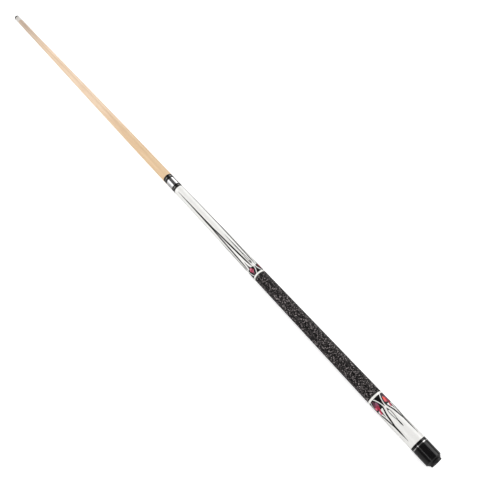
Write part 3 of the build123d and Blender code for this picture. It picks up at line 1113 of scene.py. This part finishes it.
class CUE_OT_joint_collar(bpy.types.Operator):
    """Builds the polished steel collar"""

    bl_idname = "cue.joint_collar"
    bl_label = "Steel collar"

    def execute(self, context):
        a, b, inner = start("joint_collar"), end("joint_collar"), bore("joint_collar")
        corners = [(a, inner, 1.5), (*on_cone(a), 2.4), (*on_cone(b), 0.6), (b, inner)]
        collar = turned("joint_collar_steel", corners, step=1 * MM)
        place(collar, "steel", "butt", "joint_steel", "joint_collar")
        return {"FINISHED"}


class CUE_OT_rings(bpy.types.Operator):
    """Builds the rings of the butt: black and silver at the joint and cap, white at the wrap"""

    bl_idname = "cue.rings"
    bl_label = "Butt rings"

    def execute(self, context):
        for node, finish, slot, soft in [
            ("forearm_ring_front", "black", "collar_black", 0.3),
            ("forearm_trim_ring", "nickel", "trim_silver", 0.5),
            ("forearm_ring_rear", "black", "collar_black", 0.3),
            ("wrap_ring_front", "ivory", "ring_white", 0.8),
            ("wrap_ring_rear", "ivory", "ring_white", 0.8),
            ("cap_ring", "cap", "cap_black", 0.4),
            ("cap_trim_ring", "silver", "trim_silver", 0.6),
        ]:
            a, b, inner = start(node), end(node), bore(node)
            corners = [(a, inner), (*on_cone(a), soft), (*on_cone(b), soft), (b, inner)]
            ring = turned(f"{node}_{finish}", corners, step=1 * MM)
            place(ring, finish, "butt", slot, node)
        return {"FINISHED"}


class CUE_OT_forearm(bpy.types.Operator):
    """Builds the white lacquered forearm and butt sleeve"""

    bl_idname = "cue.forearm"
    bl_label = "Forearm and sleeve"

    def execute(self, context):
        front, a, b = start("forearm"), end("forearm_ring_rear"), end("forearm")
        tenon, inner, pin = bore("joint_collar"), bore("wrap_ring_front"), radius("joint_pin")
        socket, core_end = start("handle_core"), end("handle_core")
        outline = [
            (front, pin), (front, tenon, 2.0), (a, tenon), (*on_cone(a), 0.5),
            (*on_cone(b), 0.5), (b, inner), (socket, inner), (socket, pin),
        ]
        place(turned("forearm_lacquer", outline), "lacquer", "butt", "white_lacquer", "forearm")
        a, b, rear = start("butt_sleeve"), start("cap_ring"), end("butt_sleeve")
        tenon, bolt, bolt_start = bore("cap_ring"), radius("weight_bolt"), start("weight_bolt")
        outline = [
            (core_end, 0.0), (core_end, inner), (a, inner), (*on_cone(a), 0.5),
            (*on_cone(b), 0.5), (b, tenon), (rear, tenon), (rear, bolt), (bolt_start, bolt),
            (bolt_start, 0.0),
        ]
        sleeve = turned("sleeve_lacquer", outline, closed=False)
        place(sleeve, "lacquer", "butt", "white_lacquer", "butt_sleeve")
        return {"FINISHED"}


# Inlay: x in millimetres from the joint, angles in degrees from the point's middle line.
FOREARM_LONG = 135.3
FOREARM_SHORT = 90.3
SLEEVE_LONG = 150.3
SLEEVE_SHORT = 105.3

INLAYS = [
    ("forearm_long_lines", FOREARM_LONG, [
        straight([
            (40, 0.7), (60, 1.5), (85, 2.2), (110, 2.9), (135, 3.5), (158, 3.9), (163, 3.1),
            (170, 0.05),
        ]),
        *pair(stroke([
            (157, 3.9, 1.8), (170, 6.3, 2.4), (190, 9.4, 2.7), (210, 12.6, 2.9),
            (230, 15.8, 3.0), (255, 20.0, 2.8), (266, 22.4, 2.4), (274, 25.0, 1.6),
            (279, 26.5, 0.7),
        ])),
    ]),
    ("forearm_short_lines", FOREARM_SHORT, [
        straight([(188, 0.3), (205, 1.1), (225, 1.8), (240, 1.7), (246, 1.0), (249, 0.05)]),
        *pair(stroke([
            (243, 2.0, 0.7), (252, 4.8, 0.9), (260, 6.6, 0.95), (267, 7.0, 0.9),
            (272, 5.0, 0.5), (275, 3.0, 0.2),
        ])),
    ]),
    ("forearm_spears", FOREARM_LONG, [
        even([(262, 0.4), (266, 2.2), (271, 3.8), (275, 5.6), (278, 8.2), (280.4, 13)]),
    ]),
    ("forearm_wedges", FOREARM_SHORT, [
        even([(265, 0.3), (268, 3.4), (271, 3.6), (273.5, 1.2), (275, 0.2)]),
    ]),
    ("forearm_shields", FOREARM_LONG, [
        even([
            (280.2, 30.5), (281.5, 33), (284, 34), (286, 32.5), (288, 30), (290, 27),
            (292, 23), (294, 19), (297, 14.5),
        ]),
    ]),
    ("forearm_triangles", FOREARM_SHORT, [
        even([
            (281.5, 0.4), (284, 4), (287, 6), (289, 8.4), (291, 12), (293, 16), (295, 20.5),
            (297, 24),
        ]),
    ]),
    ("sleeve_long_lines", SLEEVE_LONG, [
        *pair(stroke([
            (623.5, 31.0, 2.3), (630, 23.8, 2.6), (636, 16.2, 2.9), (641, 12.2, 3.0),
            (647, 8.8, 2.8), (652, 5.8, 2.5), (657, 2.8, 2.0), (662, 0.9, 0.8),
        ])),
        straight([
            (653, 0.05), (655, 1.7), (658, 3.4), (668, 3.1), (674, 2.3), (680, 1.3), (687, 0.4),
        ]),
    ]),
    ("sleeve_short_lines", SLEEVE_SHORT, [
        *pair(stroke([
            (632, 5.0, 0.6), (636, 7.6, 0.9), (641, 7.4, 0.95), (648, 4.6, 0.9),
            (653, 1.8, 0.8),
        ])),
        straight([(651, 0.1), (654, 1.5), (660, 2.0), (664, 1.5), (666.5, 0.1)]),
    ]),
    ("sleeve_nodes", SLEEVE_SHORT, [
        even([(628, 0.4), (630, 2.6), (632.4, 4.6), (633.6, 3.4)]),
    ]),
    ("sleeve_spears", SLEEVE_LONG, [even([(628, 6), (631, 4.6), (634, 2.8), (638.5, 0.2)])]),
    ("sleeve_shields", SLEEVE_LONG, [
        even([
            (604.9, 11), (608, 18), (612, 25), (616, 30.5), (620, 33.8), (623.6, 35),
            (624.4, 33),
        ]),
    ]),
    ("sleeve_triangles", SLEEVE_SHORT, [
        even([
            (604.9, 28), (608, 20.5), (612, 13.5), (616, 8.6), (620, 5), (623, 2.4),
            (625.4, 0.4),
        ]),
    ]),
]
# Facets: four (x, angle) corners, then tone, warmth and violet.
FOREARM_GEM = [
    ((279.6, 0), (282.6, -10.5), (283.8, 0), (281.7, 0), 0.9, 0, 0),
    ((279.6, 0), (283.8, 0), (282.6, 10.5), (281.1, 5.25), 1.0, 0, 0),
    ((282.6, -10.5), (285.6, -21), (286.2, -9.5), (283.8, 0), 0.28, 0, 0),
    ((282.6, 10.5), (283.8, 0), (286.2, 9.5), (285.2, 19.5), 0.74, 0, 0),
    ((283.8, 0), (286.2, -9.5), (288.4, 0), (286.2, 9.5), 0.22, 0, 0),
    ((285.6, -21), (288.6, -11), (288.4, 0), (286.2, -9.5), 0.66, 0, 0),
    ((285.2, 19.5), (286.2, 9.5), (288.4, 0), (288.4, 10), 0.5, 0, 0),
    ((288.4, 0), (288.6, -11), (291.0, 0), (288.4, 10), 0.82, 0, 0.1),
    ((291.6, 0), (290.4, 10), (294.8, 8), (295.4, 1), 0.08, 0, 0.3),
    ((291.6, 0), (295.4, 1), (294.8, -7), (291.8, -10), 0.02, 0, 0.2),
]
SLEEVE_GEM = [
    ((605.6, 0), (610.5, -13), (614.5, 0), (610.5, 10), 0.02, 0, 0.25),
    ((610.5, -13), (613.5, -22), (618.2, -20), (614.5, 0), 0.6, 0, 0.85),
    ((610.5, 10), (614.5, 0), (618.5, 8), (615.0, 22), 0.12, 0.95, 0.3),
    ((614.5, 0), (618.2, -20), (621.5, -12), (619.5, 0), 0.42, 0, 0.25),
    ((614.5, 0), (619.5, 0), (622.0, 9), (618.5, 8), 0.5, 0.2, 0),
    ((615.0, 22), (618.5, 8), (621.5, 14), (620.0, 25), 0.88, 0.25, 0),
    ((618.5, 8), (622.0, 9), (621.5, 14), (620.0, 11), 0.3, 0, 0),
    ((619.5, 0), (621.5, -12), (625.5, -7), (624.0, 2), 0.52, 0, 0),
    ((619.5, 0), (624.0, 2), (624.5, 9), (622.0, 9), 0.12, 0, 0),
    ((624.0, 2), (625.5, -7), (629.5, -3), (628.0, 6), 0.42, 0, 0),
    ((624.5, 9), (624.0, 2), (628.0, 6), (626.5, 12), 0.7, 0, 0),
    ((626.5, 12), (628.0, 6), (631.0, 10), (630.0, 17), 1.0, 0, 0),
    ((628.0, 6), (629.5, -3), (632.0, 1), (631.0, 10), 0.3, 0, 0),
]


class CUE_OT_inlay(bpy.types.Operator):
    """Lays the black points, shields and triangles and the gems into the lacquer"""

    bl_idname = "cue.inlay"
    bl_label = "Points and gems"

    def execute(self, context):
        for name, middle, strips in INLAYS:
            place(inlaid(name, strips, middle), "inlay", "butt", "white_lacquer")
        for name, facets, middle, second in [
            ("forearm_gems", FOREARM_GEM, FOREARM_LONG, 0.35),
            ("sleeve_gems", SLEEVE_GEM, SLEEVE_LONG, 0.75),
        ]:
            place(faceted(name, facets, middle, second), "gem", "butt", "white_lacquer")
        return {"FINISHED"}


class CUE_OT_wrap(bpy.types.Operator):
    """Winds the linen yarn over the handle"""

    bl_idname = "cue.wrap"
    bl_label = "Linen wrap"

    def execute(self, context):
        sizes = context.scene.cue_sizes
        a, b = start("linen_wrap"), end("linen_wrap")
        pitch, height = sizes.yarn_pitch, sizes.yarn_height
        # A yarn of oval section carried along a helix: at turn t and section angle v it lies
        # at x = a + p (t + 1/2) + (pitch / 2) cos v, where p is the pitch that just fills the
        # wrap. Its radius is the cone's less the sink and half its height, plus
        # (height / 2) sin v.
        turns = int((b - a) / pitch) - 1
        turn = np.arange(turns * YARN_STEPS + 1)[:, None] / YARN_STEPS
        side = np.arange(YARN_SIDES)
        v = side[None] * 2 * pi / YARN_SIDES + pi / YARN_SIDES
        middle = a + (b - a) * (turn + 0.5) / (turns + 1)
        x = middle + 0.5 * pitch * np.cos(v)
        r = butt_radius(middle) - height / 2 * (1 - np.sin(v)) - YARN_SINK
        y, z = r * np.cos(2 * pi * turn), r * np.sin(2 * pi * turn)
        points = np.stack([x, y, z], -1).reshape(-1, 3)
        i, j = grid_corners(len(turn), YARN_SIDES, True)
        wall = i * YARN_SIDES + j % YARN_SIDES
        ends = [side[None], (len(turn) - 1) * YARN_SIDES + side[None, ::-1]]
        travelled = 2 * pi * np.mean(butt_radius(middle)) * turn[:, 0]
        wound = np.stack([travelled[i], j / YARN_SIDES], -1).reshape(-1, 2)
        maps = np.concatenate([wound, np.zeros((2 * YARN_SIDES, 2))])
        yarn = add_piece("linen_yarn", points, [wall, *ends], {"Yarn": maps})
        place(yarn, "linen", "butt", "linen", "linen_wrap")
        inner = bore("linen_wrap")
        corners = [(a, inner), *[(x, r - GLUE_GAP) for x, r in map(on_cone, (a, b))], (b, inner)]
        place(turned("wrap_ground", corners, step=10 * MM), "glue", "butt", "linen")
        return {"FINISHED"}


class CUE_OT_cap(bpy.types.Operator):
    """Builds the gloss butt cap with its hollowed rear face, and the rubber bumper"""

    bl_idname = "cue.cap"
    bl_label = "Cap and bumper"

    def execute(self, context):
        x, r = stations("butt_cap")
        a, b = start("butt_cap"), end("butt_cap")
        shoulder = x[r > CAP_R - TINY].max()
        seat_r, seat, web = radius("bumper"), start("bumper"), bore("butt_cap")
        tenon, tenon_end = bore("cap_ring"), end("butt_sleeve")
        rear_r = rim("butt_cap", b)
        # The slanted rear sinks below its chord by 4 depth k (1 - k) at share k of its length.
        k = np.linspace(0, 1, 9)[1:-1]
        hollow = CAP_R + (rear_r - CAP_R) * k - 4 * CAP_HOLLOW * k * (1 - k)
        outline = [
            (a, tenon), (a, CAP_R, 0.6), (shoulder, CAP_R, 2.0),
            *zip(shoulder + (b - shoulder) * k, hollow), (b, rear_r, 2.0), (b, seat_r, 1.0),
            (seat, seat_r), (seat, web), (tenon_end, web), (tenon_end, tenon),
        ]
        cap = turned("butt_cap_gloss", outline, step=2 * MM)
        place(cap, "cap", "butt", "cap_black", "butt_cap")
        x, r = stations("bumper")
        nose, hole, recess = x.max(), bore("bumper"), start("bumper_washer")
        nose_r = r[np.abs(x - (nose - BUMPER_BAND)) < 0.15 * MM].max()
        recess_r = r[x > nose - TINY].min()
        outline = [
            (seat, hole), (seat, seat_r - BUMPER_FIT, 1.0), (b, seat_r - BUMPER_FIT, 1.0),
            (nose, nose_r, 6.6), (nose, recess_r, 3.0), (recess, recess_r), (recess, hole),
        ]
        bumper = turned("bumper_rubber_nose", outline, step=1 * MM)
        place(bumper, "rubber", "butt", "bumper_rubber", "bumper")
        for node, finish in [
            ("bumper_screw", "pin"), ("bumper_washer", "steel"), ("weight_bolt", "pin"),
            ("forearm_stud", "pin"), ("handle_core", "core"),
        ]:
            dress(frame["nodes"][node], finish)
        return {"FINISHED"}


def lay_floor():
    """A pale sheet that touches the cap and the shaft's underside. Its height is
    z = -(CAP_R + slope (x - rest)), and the slope is the least that clears the shaft."""
    x, r = stations("shaft_wood")
    rest = end("butt_cap") - CAP_REST
    free = x < SHAFT_FREE
    slope = ((CAP_R - r[free]) / (x[free] - rest)).max()
    corners = FLOOR_REACH * np.array([[-1, -1], [1, -1], [1, 1], [-1, 1]])
    height = -(CAP_R + slope * (corners[:, 0] - rest)) - FLOOR_GAP
    corners = np.column_stack([corners, height])
    floor = add_piece("floor", corners, [np.arange(4)[None]], smooth=False)
    material, tree, surface, position = start_material(
        Roughness=0.9, Specular_IOR_Level=0.1, Emission_Color=(1, 1, 1, 1)
    )
    material.name = "floor_paper"
    fibres = noise(tree, position, (1, 1, 1), 40.0, 2.0)
    rays = tree.nodes.new("ShaderNodeLightPath").outputs
    paper = mixed(tree, fibres, rgba(srgb(240, 240, 240)), rgba(srgb(243, 243, 243)))
    grey = times(tree, rays["Is Glossy Ray"], FLOOR_IN_GLOSS)
    finish_with(
        tree, surface, Base_Color=mixed(tree, grey, paper, (0, 0, 0, 1)),
        Emission_Strength=times(tree, rays["Is Camera Ray"], FLOOR_GLOW),
    )
    floor.data.materials.append(material)


def hang_lights(studio):
    """Long lamps beside the cue, each turned to it at an angle from +Y. The softboxes only
    show in gloss, and the low card lifts the forearm's near side without showing in gloss."""
    for name, angle, away, middle, size, power, in_gloss in [
        ("key_softbox", 36.6, 1.25, -0.5, (5.5, 0.85), studio.key, True),
        ("strip_light", 140.3, 1.3, -0.5, (5.5, 0.14), studio.strip, True),
        ("side_card", 164.0, 1.1, -0.9, (1.3, 1.35), studio.card, True),
        ("low_card", 172.0, 0.9, 0.02, (0.9, 0.4), studio.low, False),
    ]:
        lamp = bpy.data.lights.new(name, "AREA")
        lamp.shape, lamp.size, lamp.size_y, lamp.energy = "RECTANGLE", *size, power
        light = bpy.data.objects.new(name, lamp)
        towards = Vector((0, cos(radians(angle)), sin(radians(angle))))
        light.location = Vector((middle, 0, 0)) + towards * away
        light.rotation_euler = towards.to_track_quat("Z", "Y").to_euler()
        light.visible_diffuse, light.visible_glossy = not in_gloss, in_gloss
        bpy.context.scene.collection.objects.link(light)


def light_room(studio):
    """A white room that lights the cue evenly from all sides, and is dimmer in gloss."""
    room = bpy.data.worlds.new("room")
    room.use_nodes = True
    tree, backdrop = room.node_tree, room.node_tree.nodes["Background"].inputs
    backdrop["Color"].default_value = (1, 1, 1, 1)
    glossy = tree.nodes.new("ShaderNodeLightPath").outputs["Is Glossy Ray"]
    level = times(tree, glossy, studio.room * (studio.room_seen - 1))
    tree.links.new(plus(tree, level, studio.room), backdrop["Strength"])
    bpy.context.scene.world = room


def point_camera(studio):
    """The camera stands at its distance from the aim point, along its azimuth from -Y and
    its elevation, and looks back at that point."""
    data = bpy.data.cameras.new("camera")
    data.lens, data.sensor_width = studio.lens, 36
    data.clip_start, data.clip_end = 0.02, 60
    camera = bpy.data.objects.new("camera", data)
    level, turn = cos(studio.elevation), studio.azimuth
    back = Vector((sin(turn) * level, -cos(turn) * level, sin(studio.elevation)))
    camera.location = Vector(studio.aim) + back * studio.distance
    camera.rotation_mode = "QUATERNION"
    camera.rotation_quaternion = (-back).to_track_quat("-Z", "Y")
    bpy.context.scene.collection.objects.link(camera)
    bpy.context.scene.camera = camera


class CUE_OT_stage(bpy.types.Operator):
    """Sets up the pale floor, the soft lights and the camera"""

    bl_idname = "cue.stage"
    bl_label = "Stage"

    def execute(self, context):
        studio = context.scene.cue_studio
        lay_floor()
        hang_lights(studio)
        light_room(studio)
        point_camera(studio)
        context.scene.view_settings.view_transform = "Standard"
        return {"FINISHED"}


class CUE_PT_panel(bpy.types.Panel):
    """Lists the steps that build the cue, and its settings"""

    bl_idname = "CUE_PT_panel"
    bl_label = "Pool cue"
    bl_space_type = "VIEW_3D"
    bl_region_type = "UI"
    bl_category = "Cue"

    def draw(self, context):
        for step in STEPS:
            self.layout.operator(step.bl_idname)
        for group in (context.scene.cue_colours, context.scene.cue_sizes, context.scene.cue_studio):
            box = self.layout.box()
            for key in group.__annotations__:
                box.prop(group, key)


GROUPS_OF_SETTINGS = {"cue_colours": CueColours, "cue_sizes": CueSizes, "cue_studio": CueStudio}
STEPS = [
    CUE_OT_tip, CUE_OT_shaft, CUE_OT_shaft_collar, CUE_OT_screw, CUE_OT_joint_collar, CUE_OT_rings,
    CUE_OT_forearm, CUE_OT_inlay, CUE_OT_wrap, CUE_OT_cap, CUE_OT_stage,
]


def register():
    for kind in [*GROUPS_OF_SETTINGS.values(), *STEPS, CUE_PT_panel]:
        bpy.utils.register_class(kind)
    for name, kind in GROUPS_OF_SETTINGS.items():
        setattr(bpy.types.Scene, name, PointerProperty(type=kind))


def unregister():
    for name in GROUPS_OF_SETTINGS:
        delattr(bpy.types.Scene, name)
    for kind in reversed([*GROUPS_OF_SETTINGS.values(), *STEPS, CUE_PT_panel]):
        bpy.utils.unregister_class(kind)


def main():
    register()
    for step in STEPS:
        family, name = step.bl_idname.split(".")
        getattr(getattr(bpy.ops, family), name)()


if __name__ == "__main__":
    main()
